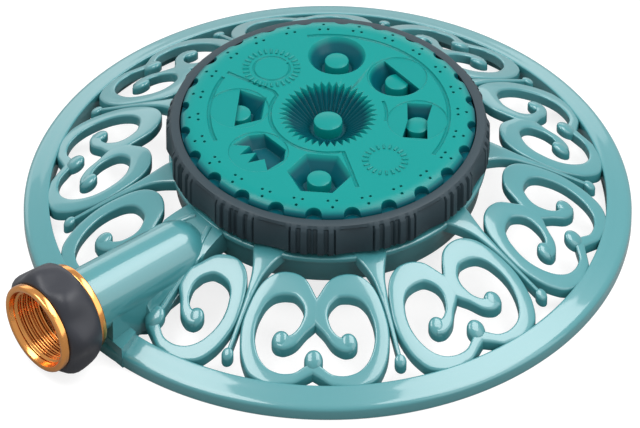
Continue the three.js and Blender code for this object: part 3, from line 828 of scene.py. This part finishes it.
@dataclass
class GripRing:
    """The charcoal grip: smooth scooped bays with upright ribs between them."""

    radius: float = 57.2
    inner: float = 52.4
    low: float = 30.4
    high: float = 43.7
    bays: int = 12
    bay_half: float = 7.0
    rib_pitch: float = 4.0
    rib_width: float = 2.4
    samples: int = 60

    def build(self) -> None:
        """Makes the grip ring."""
        maker = Maker.start().wrapped(self._rows())
        Piece("turret_grip", Body.TURRET, "grip_ring", "grip_rubber", GRIP, 38).finished(maker)

    def _relief(self, angle: float) -> float:
        """Returns how far the side lies inside the full radius at an angle."""
        pitch = 360 / self.bays
        off = (angle + pitch / 2) % pitch - pitch / 2
        if abs(off) < self.bay_half:
            return 1.7 * (1 - (off / self.bay_half) ** 2) + 0.1
        rib = (abs(off) - self.bay_half) % self.rib_pitch
        return 0.1 if rib < self.rib_width and abs(off) > self.bay_half + 0.4 else 1.1

    def _rows(self) -> list[list[Vector]]:
        """Returns the rows of the skin, from the inner edge over the top and down the outside."""
        section = [
            (self.inner, self.high, 0.0), (54.7, self.high, 0.0), (55.5, self.high - 0.3, 0.0),
            (56.3, self.high - 1.3, 0.25), (56.9, self.high - 2.0, 1.0), (self.radius, self.high - 2.6, 1.0),
            (self.radius, self.low + 1.4, 1.0), (56.8, self.low + 0.4, 1.0), (56.2, self.low, 0.6),
            (self.inner, self.low, 0.0),
        ]
        count = self.bays * self.samples
        rows = []
        for r, z, share in section:
            row = []
            for k in range(count):
                angle = 360 * k / count
                row.append(polar(angle, r - share * self._relief(angle), z))
            rows.append(row)
        return rows


# ---------------------------------------------------------------- hose coupling


@dataclass
class HoseCoupling:
    """The brass swivel nut with its inside thread, and the soft sleeve round it."""

    lip: float = 132.0
    back: float = 112.3
    pitch: float = 2.2
    turns: float = 6.0
    lobes: int = 7
    first_lobe: float = 69.0

    def build(self) -> None:
        """Makes the nut and the sleeve."""
        nut = Maker.start().wrapped(self._nut_rows(144))
        Piece("hose_nut", Body.COUPLING, "coupling_nut", "brass", BRASS, 40).finished(nut)
        sleeve = Maker.start().wrapped(self._sleeve_rows(160))
        Piece("hose_sleeve", Body.COUPLING, "coupling_grip", "charcoal_plastic", SLEEVE, 50).finished(sleeve)

    def _around(self, distance: float, radius: Callable[[float], float], count: int) -> list[Vector]:
        """Returns a ring of points about the inlet's axis, with the radius given for each angle."""
        row = []
        for k in range(count):
            turn = 2 * math.pi * k / count
            r = radius(math.degrees(turn))
            row.append(Vector((-distance, r * math.cos(turn), INLET_Z + r * math.sin(turn))))
        return row

    def _thread(self, distance: float) -> Callable[[float], float]:
        """Returns the thread's radius round the nut at a distance along it."""
        start = self.lip - 1.9
        end = start - self.pitch * self.turns
        fade = smoothstep(end, end + 0.8, distance) * (1 - smoothstep(start - 0.6, start, distance))

        def radius(angle: float) -> float:
            phase = ((start - distance) / self.pitch + angle / 360) % 1
            ridge = abs(2 * phase - 1)
            crest = 12.9 + 1.0 * smoothstep(0.1, 0.9, ridge)
            return 13.9 + (crest - 13.9) * fade

        return radius

    def _nut_rows(self, count: int) -> list[list[Vector]]:
        """Returns the rows of the nut: its inside from the mouth to the back, then the outside."""
        rows = []
        for distance, r in ((self.lip, 15.0), (self.lip - 0.25, 14.5), (self.lip - 1.5, 14.1)):
            rows.append(self._around(distance, lambda _, r=r: r, count))
        steps = 84
        start, end = self.lip - 1.9, self.lip - 1.9 - self.pitch * self.turns
        for k in range(steps + 1):
            distance = start + (end - start) * k / steps
            rows.append(self._around(distance, self._thread(distance), count))
        outside = rounded([
            (114.5, 13.9), (114.5, 9.2), (self.back, 9.2), (self.back, 16.2), (self.back + 2.6, 16.2),
            (self.back + 2.6, 15.2), (128.9, 15.2), (128.9, 16.6), (self.lip, 16.6),
        ], 0.5, closed=False)
        for distance, r in outside[:-1]:
            rows.append(self._around(distance, lambda _, r=r: r, count))
        for distance, r in ((self.lip - 0.8, 16.6), (self.lip - 0.3, 16.4), (self.lip, 15.9)):
            rows.append(self._around(distance, lambda _, r=r: r, count))
        return rows

    def _sleeve_rows(self, count: int) -> list[list[Vector]]:
        """Returns the rows of the sleeve, with soft lobes that fade out towards its ends."""
        section = [
            (115.3, 15.5, 0.0), (128.6, 15.5, 0.0), (129.0, 16.6, 0.0), (128.9, 17.2, 0.2),
            (128.2, 18.3, 0.9), (127.2, 19.3, 1.6), (125.8, 20.0, 2.0), (124.2, 20.3, 2.1),
            (122.4, 20.2, 1.8), (120.4, 19.9, 1.3), (118.6, 19.5, 0.8), (117.2, 19.0, 0.4),
            (116.2, 18.3, 0.1), (115.6, 17.6, 0.0), (115.3, 17.0, 0.0),
        ]
        rows = []
        for distance, r, share in section:
            def radius(angle: float, r: float = r, share: float = share) -> float:
                wave = 0.5 * (1 - math.cos(math.radians(self.lobes * (angle - self.first_lobe))))
                return r - share * wave

            rows.append(self._around(distance, radius, count))
        return rows


# ---------------------------------------------------------------- carried-over parts


@dataclass
class SmallParts:
    """The small parts inside, which keep the shape they were packed with."""

    FINISHES = {
        "slide_ring": ACETAL, "pivot_bush": ACETAL, "pivot_spring": STEEL, "pivot_cap": GRIP,
        "port_seal_spring": STEEL, "detent_spring": STEEL, "inlet_nipple": BRASS, "nipple_o_ring": SEAL,
        "channel_plate": TEAL, "pivot_insert": BRASS, "pivot_screw": STEEL, "pivot_washer": STEEL,
        "hose_washer": SEAL, "filter_screen": STEEL, "port_seal": SEAL, "detent_ball": STEEL,
    }

    def build(self) -> None:
        """Gives each of them its finish."""
        for name, finish in self.FINISHES.items():
            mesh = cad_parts[name].data
            mesh.materials.clear()
            mesh.materials.append(finish.material())
        LOG.info("finished %d small parts", len(self.FINISHES))


# ---------------------------------------------------------------- studio


@dataclass
class Studio:
    """The pale floor, the soft lights and the camera."""

    distance: float = 3.24
    elevation: float = 41.859
    azimuth: float = -39.5
    roll: float = 0.0035
    lens: float = 512.6
    shift_x: float = -0.01205
    shift_y: float = -0.0016

    def build(self) -> None:
        """Puts up the whole studio."""
        self._colour()
        self._world()
        self._floor()
        self._lights()
        self._camera()

    def _colour(self) -> None:
        """Sets a plain colour response."""
        view = bpy.context.scene.view_settings
        view.view_transform = "Standard"
        view.look = "None"
        view.exposure = 0.0

    def _world(self) -> None:
        """Fills the room with a soft grey light."""
        world = bpy.data.worlds.new("studio")
        world.use_nodes = True
        background = world.node_tree.nodes["Background"]
        background.inputs["Color"].default_value = (1, 1, 1, 1)
        background.inputs["Strength"].default_value = 0.7
        bpy.context.scene.world = world

    def _floor(self) -> None:
        """Lays a broad floor that looks plain white and throws little light back at the sides."""
        bm = bmesh.new()
        bmesh.ops.create_grid(bm, x_segments=1, y_segments=1, size=4)
        mesh = bpy.data.meshes.new("floor")
        bm.to_mesh(mesh)
        bm.free()
        floor = bpy.data.objects.new("floor", mesh)
        bpy.context.scene.collection.objects.link(floor)
        material = bpy.data.materials.new("white floor")
        material.use_nodes = True
        shader = material.node_tree.nodes["Principled BSDF"]
        shader.inputs["Base Color"].default_value = (0.25, 0.25, 0.25, 1)
        shader.inputs["Roughness"].default_value = 0.9
        shader.inputs["Emission Strength"].default_value = 0.8
        ray = material.node_tree.nodes.new("ShaderNodeLightPath")
        material.node_tree.links.new(ray.outputs["Is Camera Ray"], shader.inputs["Emission Color"])
        mesh.materials.append(material)

    def _softbox(
        self, name: str, centre: Vector, size: tuple[float, float], power: float,
        tilt: float = 0.0, turn: float = 0.0,
    ) -> None:
        """Hangs a soft rectangular light over the sprinkler, square to the camera.

        Args:
            name: the light's name.
            centre: metres to the right of the sprinkler, beyond it and above it, as the camera sees it.
            size: width and length in metres.
            power: watts.
            tilt: degrees the light leans from facing straight down towards facing the camera.
            turn: degrees the leaning light is turned about the vertical.
        """
        light = bpy.data.lights.new(name, "AREA")
        light.shape = "RECTANGLE"
        light.size, light.size_y = size
        light.energy = power
        lamp = bpy.data.objects.new(name, light)
        place = Matrix.Rotation(math.radians(self.azimuth), 4, "Z") @ Matrix.Translation(centre)
        lean = Matrix.Rotation(math.radians(turn), 4, "Z") @ Matrix.Rotation(math.radians(-tilt), 4, "X")
        lamp.matrix_world = place @ lean
        bpy.context.scene.collection.objects.link(lamp)

    def _lights(self) -> None:
        """Hangs two soft panels overhead with a gap between them, and weak ones behind and beside."""
        self._softbox("left panel", Vector((-0.66, -0.12, 1.3)), (0.72, 1.07), 15.0)
        self._softbox("right panel", Vector((0.68, 0.12, 1.3)), (0.88, 1.27), 19.0)
        self._softbox("back panel", Vector((-0.5, 1.4, 0.45)), (2.4, 0.6), 5.0, 80.0)
        self._softbox("side panel", Vector((1.15, -0.6, 0.72)), (1.3, 1.15), 7.0, 62.0, -117.0)

    def _camera(self) -> None:
        """Sets up the camera on the turret's axis."""
        turn, rise = math.radians(self.azimuth), math.radians(self.elevation)
        back = Vector((math.sin(turn) * math.cos(rise), -math.cos(turn) * math.cos(rise), math.sin(rise)))
        data = bpy.data.cameras.new("camera")
        data.lens = self.lens
        data.sensor_width = 36.0
        data.shift_x, data.shift_y = self.shift_x, self.shift_y
        data.clip_end = 50.0
        camera = bpy.data.objects.new("camera", data)
        aim = back.to_track_quat("Z", "Y").to_matrix().to_4x4()
        place = Matrix.Translation(Vector((AXIS_X * MM, 0, 0)) + back * self.distance)
        camera.matrix_world = place @ aim @ Matrix.Rotation(self.roll, 4, "Z")
        bpy.context.scene.collection.objects.link(camera)
        bpy.context.scene.camera = camera


def main() -> None:
    """Builds the sprinkler and its studio."""
    logging.basicConfig(level=logging.INFO, format="%(message)s")
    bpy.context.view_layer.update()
    for part in (BaseCasting(), SprayDisc(), GripRing(), HoseCoupling(), SmallParts(), Studio()):
        part.build()
        LOG.info("built %s", type(part).__name__)


if __name__ == "__main__":
    main()
